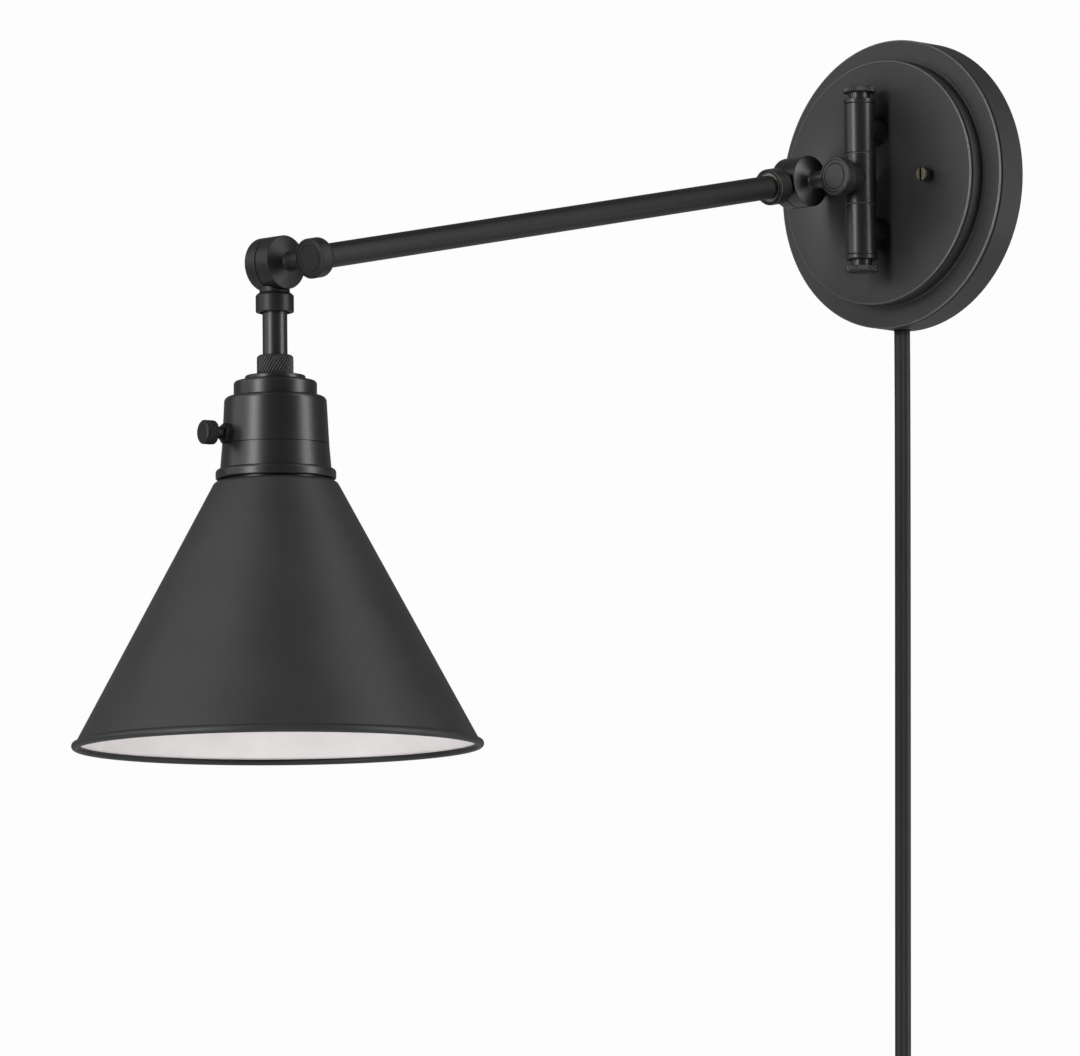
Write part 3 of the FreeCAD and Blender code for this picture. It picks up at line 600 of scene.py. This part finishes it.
# %% Knurled knob
switch = next(j for j in frame["joints"] if j["name"] == "switch_turn")
SHAFT_R, SHAFT_FROM = 2.5 * MM, 6 * MM
KNOB_R, KNOB_LONG, KNOB_END = 5.3 * MM, 5.9 * MM, 36.1 * MM
knob_at = KNOB_END - KNOB_LONG
knob_line = profile([
    (0, SHAFT_FROM), (SHAFT_R, SHAFT_FROM), (SHAFT_R, knob_at, 0.2 * MM),
    (KNOB_R - 0.4 * MM, knob_at, 0.2 * MM), (KNOB_R, knob_at + 0.6 * MM, 0.3 * MM),
    (KNOB_R, KNOB_END - 0.8 * MM, 0.3 * MM), (KNOB_R - 0.8 * MM, KNOB_END, 0.4 * MM),
    (0, KNOB_END)], closed=False)
knob = spun("switch_knob_knurled", fine_rows(knob_line, 0.16 * MM), switch["pos_m"],
            switch["axis"], 320, diamond_knurl(26, 0.5 * MM, KNOB_R - 0.1 * MM, 1.0),
            ring_closed=False)
ride_and_finish(paint(knob, MATT), "switch", ["switch_knob"])
print("knob", round(2 * KNOB_R, 4), "m across and", round(KNOB_LONG, 4), "m long")

# %% [markdown]
# ## Inside the shade
# The lampholder shows from below: a glazed body round a brass screw shell. The shell's thread
# is a wave that climbs one pitch per turn. Only its inner wall is rolled, so the relief acts on
# the rows beside the bore and leaves the outer wall plain.

# %% Screw shell
shell_r, shell_long = extent("holder_shell")[0] / 2, extent("holder_shell")[2]
shell_foot = middle("holder_shell") * (1, 1, 0) + (0, 0, bottom("holder_shell"))
bore_r = shell_r - 0.6 * MM
PITCH, HALF_THREAD = 3.63 * MM, 0.25 * MM


def rolled_thread(angle, radius, height):
    """The inner wall moves in and out as cos(angle - height / pitch turns)."""
    wave = np.cos(angle - 2 * np.pi * height / PITCH)
    return HALF_THREAD * (1 + wave) * (radius < bore_r + 0.1 * MM)


shell_line = profile([(bore_r, 0), (shell_r, 0), (shell_r, shell_long), (bore_r, shell_long)])
shell_line = fine_rows(np.concatenate([shell_line, shell_line[:1]]), 0.4 * MM)[:-1]
shell = spun("screw_shell", shell_line, shell_foot, (0, 0, 1), 96, rolled_thread)
ride_and_finish(paint(shell, BRASS), "head", ["holder_shell"])

# %% [markdown]
# ## The cord
# The cord is flat, with two cores side by side and a groove between them. It leaves the
# canopy's lower edge, hangs straight down the wall, turns aside and becomes a tied coil, and its
# plug hangs from there. Its line is one smooth spline pulled towards a few route points. The
# coil's turns are more points of the same spline: a spiral inwards in the layer at the wall,
# and a spiral outwards in a second layer before it.

# %% The cord's line
ROUTE = [(-1.5, -7.4, -64), (-1.5, -7.4, -90), (-6.6, -7.4, -361), (-8.2, -7.4, -446),
         (-45.6, -7.4, -518), (-45.6, -7.4, -560)]
CORD_WIDE, CORD_THICK = 8.2, 4.6
TURNS, PER_TURN, LAYER = 5, 16, 4.85
COIL_R, COIL_Z, BACK_Y, FRONT_Y = 45.6, -560, -7.45, -15.8
CROSS_FROM, CROSS_TO = 2.0, 2.5
TAIL = [(-COIL_R, FRONT_Y, z) for z in (COIL_Z, -577, -590, -604)]


def eased(x, start, end):
    """0 before start, 1 after end, and 3 t^2 - 2 t^3 between."""
    t = np.clip((x - start) / (end - start), 0, 1)
    return t * t * (3 - 2 * t)


turn_at = np.arange(1, TURNS * PER_TURN) / PER_TURN
angle = np.pi + 2 * np.pi * turn_at
spiral = COIL_R - LAYER * (TURNS / 2 - np.abs(turn_at - TURNS / 2))
spiral = spiral / (0.5 + 0.5 * np.cos(np.pi / PER_TURN))
depth = BACK_Y + (FRONT_Y - BACK_Y) * eased(turn_at, CROSS_FROM, CROSS_TO)
coil = np.stack([spiral * np.cos(angle), depth, COIL_Z + spiral * np.sin(angle)], 1)
points = np.concatenate([ROUTE, coil, TAIL]) * MM


def smooth_line(points):
    """The points of one open NURBS spline of order 3 that has `points` as its controls."""
    curve = bpy.data.curves.new("cord line", "CURVE")
    curve.dimensions, curve.resolution_u = "3D", 10
    spline = curve.splines.new("NURBS")
    spline.points.add(len(points) - 1)
    spline.points.foreach_set("co", np.c_[points, np.ones(len(points))].ravel())
    spline.order_u, spline.use_endpoint_u = 3, True
    holder = bpy.data.objects.new("cord line", curve)
    mesh = bpy.data.meshes.new_from_object(holder)
    line = np.empty(len(mesh.vertices) * 3)
    mesh.vertices.foreach_get("co", line)
    bpy.data.objects.remove(holder)
    return line.reshape(-1, 3)


cord_line = smooth_line(points)
run = np.concatenate([[0], np.cumsum(np.linalg.norm(np.diff(cord_line, axis=0), axis=1))])
print("cord", round(run[-1], 3), "m along", len(cord_line), "points")

# %% [markdown]
# The section is two round cores that touch: at a distance x from the middle, the skin stands as
# high as the circle of the nearer core. On the wall the cores lie side by side. In the coil they
# lie one behind the other, so the section turns by a quarter before the coil and back after it.

# %% The cord's skin
AROUND_CORD, SOFT_GROOVE = 44, 0.2


def flat_section():
    """Across is half the width times cos(angle). Height is the nearer core's circle there, with
    |x| softened to sqrt(x^2 + soft^2) so that the groove between the cores is round."""
    a = np.linspace(0, 2 * np.pi, AROUND_CORD, endpoint=False)
    x = np.cos(a) * CORD_WIDE / 2
    core = CORD_THICK / 2
    from_core = np.hypot(x, SOFT_GROOVE) - (CORD_WIDE / 2 - core)
    height = np.sqrt(np.clip(core * core - from_core ** 2, 0, None))
    return x * MM, height * np.sign(np.sin(a)) * MM


def swept(name, line, section, quarter):
    """The section carried along the line. `quarter` goes from 0, with its width across the
    wall, to 1, with its width out from the wall."""
    along = np.gradient(line, axis=0)
    along /= np.linalg.norm(along, axis=1)[:, None]
    out = np.array([0, -1.0, 0])
    side = np.cross(out, along)
    side /= np.linalg.norm(side, axis=1)[:, None]
    front = np.cross(along, side)
    turned = quarter[:, None] * np.pi / 2
    wide = np.cos(turned) * side + np.sin(turned) * front
    thick = np.cross(along, wide)
    across, height = section
    grid = line[:, None] + wide[:, None] * across[:, None] + thick[:, None] * height[:, None]
    grid = np.concatenate([np.repeat(line[:1, None], len(across), 1), grid,
                           np.repeat(line[-1:, None], len(across), 1)])
    return piece(name, grid, ring_closed=False)


coil_from = run[np.argmin(np.linalg.norm(cord_line - points[len(ROUTE) - 1], axis=1))]
quarter = eased(run, coil_from - 105 * MM, coil_from - 15 * MM)
quarter = quarter - eased(run, run[-1] - 44 * MM, run[-1] - 4 * MM)
cord = paint(swept("cord_flat", cord_line, flat_section(), quarter), JACKET)
ride_and_finish(cord, "canopy_and_column", ["cord", "cord_coil", "cord_tail"])

# %% [markdown]
# ## The plug
# A moulded plug grows out of the cord as a rounded taper, with a few grip ribs, and ends flat
# at its face. Each level is a rounded rectangle: |x/a|^n + |y/b|^n = 1, with n larger towards
# the face, where the plug is squarer.

# %% Mould the plug
plug_mid = middle("plug_body")
plug_wide, plug_deep, plug_tall = extent("plug_body")
NOSE_WIDE, NOSE_DEEP = 4.3 * MM, 2.9 * MM
GROWN_AT = 0.62
RIBS, RIB_HIGH, RIBS_FROM, RIBS_TO = 9, 0.35 * MM, 0.08, 0.5


def rounded_levels(h):
    """Half width, half depth and squareness of the plug at a share h of its length."""
    grow = eased(h, 0.0, GROWN_AT)
    rib = RIB_HIGH * np.cos(h * 2 * np.pi * RIBS) * (h > RIBS_FROM) * (h < RIBS_TO)
    end = 1 - 0.10 * eased(h, 0.93, 1.0) ** 2
    wide = (NOSE_WIDE + (plug_wide / 2 - NOSE_WIDE) * grow + rib) * end
    deep = (NOSE_DEEP + (plug_deep / 2 - 0.6 * MM - NOSE_DEEP) * grow + rib) * end
    return wide, deep, 2 + 2.2 * grow


h = np.linspace(0, 1, 90)[:, None]
a = np.linspace(0, 2 * np.pi, 96, endpoint=False)[None, :]
half_wide, half_deep, square = rounded_levels(h)
x = half_wide * np.sign(np.cos(a)) * np.abs(np.cos(a)) ** (2 / square)
y = half_deep * np.sign(np.sin(a)) * np.abs(np.sin(a)) ** (2 / square)
z = top("plug_body") - h * plug_tall + 0 * a
levels = np.stack([plug_mid[0] + x, plug_mid[1] + y, z], -1)
ends = [np.repeat(levels[k].mean(0)[None, None], levels.shape[1], 1) for k in (0, -1)]
plug = piece("plug_moulded", np.concatenate([ends[0], levels, ends[1]]), ring_closed=False)
ride_and_finish(paint(plug, PLUG), "canopy_and_column", ["plug_body"])

# %% [markdown]
# Once its plug exists, the cord's last point is printed.

print("cord ends at", np.round(cord_line[-1], 3))

# %% [markdown]
# ## The lights
# The light is a plain studio's. Two tall soft boxes draw the two bands of light on the housing
# and two high ones carry them on down the shade. A wide one at the left lights the canopy's
# face, and a weak one behind the wall's plane lights the arm's lower side.

# %% Soft boxes
BOX_AWAY = 2.0
LAMP_MIDDLE = Vector((-0.03, -0.2, -0.12))


def soft_box(name, azimuth, elevation, size, power):
    """An area light that faces the lamp. Azimuth 0 is straight in front of the wall."""
    lamp = bpy.data.lights.new(name, "AREA")
    lamp.shape, lamp.size, lamp.size_y, lamp.energy = "RECTANGLE", size[0], size[1], power
    obj = bpy.data.objects.new(name, lamp)
    bpy.context.scene.collection.objects.link(obj)
    a, e = math.radians(azimuth), math.radians(elevation)
    way = Vector((math.sin(a) * math.cos(e), -math.cos(a) * math.cos(e), math.sin(e)))
    at = LAMP_MIDDLE + way * BOX_AWAY
    obj.matrix_world = Matrix.Translation(at) @ way.to_track_quat("Z", "Y").to_matrix().to_4x4()


soft_box("left box", -4, 4, (0.5, 2.2), 68)
soft_box("right box", 112, 4, (0.7, 2.2), 60)
soft_box("upper left box", -20, 58, (1.2, 0.8), 8.5)
soft_box("upper right box", 114, 47, (1.0, 0.8), 13)
soft_box("side box", -38, 21, (1.6, 1.3), 16.5)
soft_box("rear box", 150, -14, (0.5, 0.8), 2.5)
print(len(bpy.data.lights), "soft boxes")

# %% [markdown]
# ## The room
# A pale room would turn black paint grey, so the room looks pale but lights the lamp less. The
# world's strength is 1 where it is seen directly, and ROOM on every other ray.

# %% Pale room
ROOM = 0.22
world = bpy.data.worlds.new("pale room")
world.use_nodes = True
nodes, links = world.node_tree.nodes, world.node_tree.links
nodes["Background"].inputs["Color"].default_value = grey(0.98)
seen = nodes.new("ShaderNodeLightPath").outputs["Is Camera Ray"]
strength = nodes.new("ShaderNodeMath")
strength.operation = "MULTIPLY_ADD"
links.new(seen, strength.inputs[0])
strength.inputs[1].default_value, strength.inputs[2].default_value = 1 - ROOM, ROOM
links.new(strength.outputs[0], nodes["Background"].inputs["Strength"])
bpy.context.scene.world = world
bpy.context.scene.view_settings.view_transform = "Standard"
print("the room lights the lamp at", ROOM, "of what is seen")

# %% [markdown]
# ## The floor
# A plain pale sheet lies far below the coil. It glows a little, because the lights aim at the
# lamp and leave the floor dim.

# %% Pale floor
FLOOR_Z, FLOOR_HALF = -1.6, 4.0
mesh = bpy.data.meshes.new("floor")
corner = np.array([(-1, -1), (1, -1), (1, 1), (-1, 1)]) * FLOOR_HALF
mesh.from_pydata(np.c_[corner, np.full(4, FLOOR_Z)].tolist(), [], [(0, 1, 2, 3)])
floor = bpy.data.objects.new("floor", mesh)
bpy.context.scene.collection.objects.link(floor)
pale = Finish("pale floor").set(Base_Color=grey(0.85), Roughness=0.9,
                                Emission_Color=grey(1.0), Emission_Strength=0.2)
paint(floor, pale.material)
print("floor at z =", FLOOR_Z)
